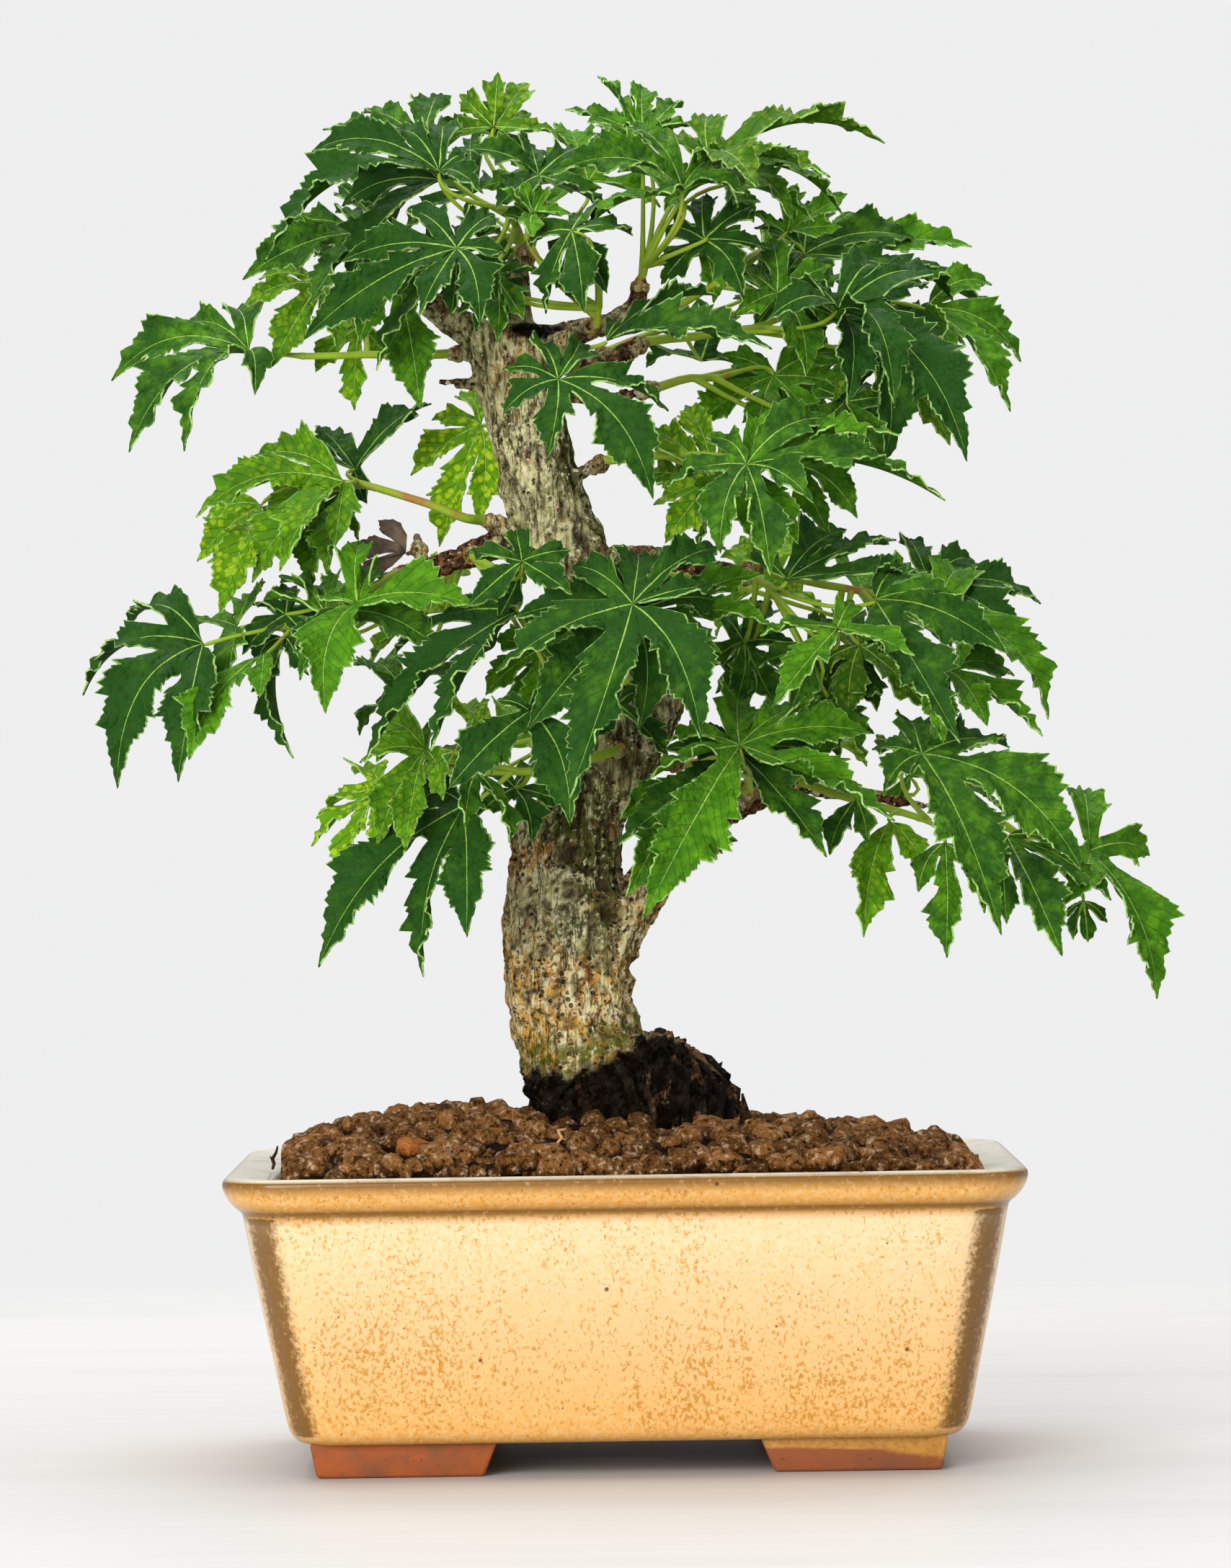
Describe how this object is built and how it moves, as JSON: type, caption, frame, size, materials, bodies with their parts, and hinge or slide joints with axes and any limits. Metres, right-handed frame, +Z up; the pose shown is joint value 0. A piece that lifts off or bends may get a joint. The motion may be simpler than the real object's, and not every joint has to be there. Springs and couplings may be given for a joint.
{
  "type": "potted bonsai maple",
  "caption": "Japanese maple bonsai with curled palmate leaves on a leaning trunk, rooted in mounded clay granules in a glazed rectangular footed pot.",
  "frame": {"origin": "on the ground under the middle of the whole part's extents, which is the middle of the pot within 1.5 mm", "axes": "+Z up; the long sides of the pot run along X and +X is to the right of a viewer in front; the front of the tree faces -Y"},
  "size_m": [0.1945, 0.1306, 0.2533],
  "materials": {
    "glaze": "glossy speckled cream and tan glaze on stoneware, bare terracotta on the feet",
    "soil": "matt, fired clay granules",
    "screen": "matt black",
    "bark": "rough grey-brown bark with lichen",
    "leaf": "satin green leaf, lighter and a little translucent where it is thin",
    "dry_leaf": "matt, dry"
  },
  "bodies": {
    "root": {"pot": "glaze", "drain_screen_left": "screen", "drain_screen_right": "screen", "soil": "soil", "trunk": "bark", "spray_crown_left": "leaf", "spray_crown_top": "leaf", "spray_crown_front": "leaf", "spray_crown_far_left": "leaf", "spray_crown_right": "leaf", "spray_crown_right_far": "leaf", "spray_upper_right": "leaf", "spray_upper_right_under": "leaf", "spray_front_upper": "leaf", "spray_right_mid": "leaf", "spray_right_bough": "leaf", "spray_right_bough_far": "leaf", "spray_front_mid": "leaf", "spray_left_front": "leaf", "spray_left_low": "leaf", "spray_left_low_far": "leaf", "spray_left_bough": "leaf", "spray_left_mid": "leaf", "spray_back_left_leaf": "leaf", "spray_low_left": "leaf", "spray_right_low": "leaf", "spray_right_low_far": "leaf", "spray_right_low_end": "leaf", "spray_back_top": "leaf", "spray_back_right": "leaf", "spray_back_left": "leaf", "spray_back_mid_right": "leaf", "spray_back_low_right": "leaf", "spray_back_low_left": "leaf", "dried_leaf": "dry_leaf"}
  },
  "joints": []
}
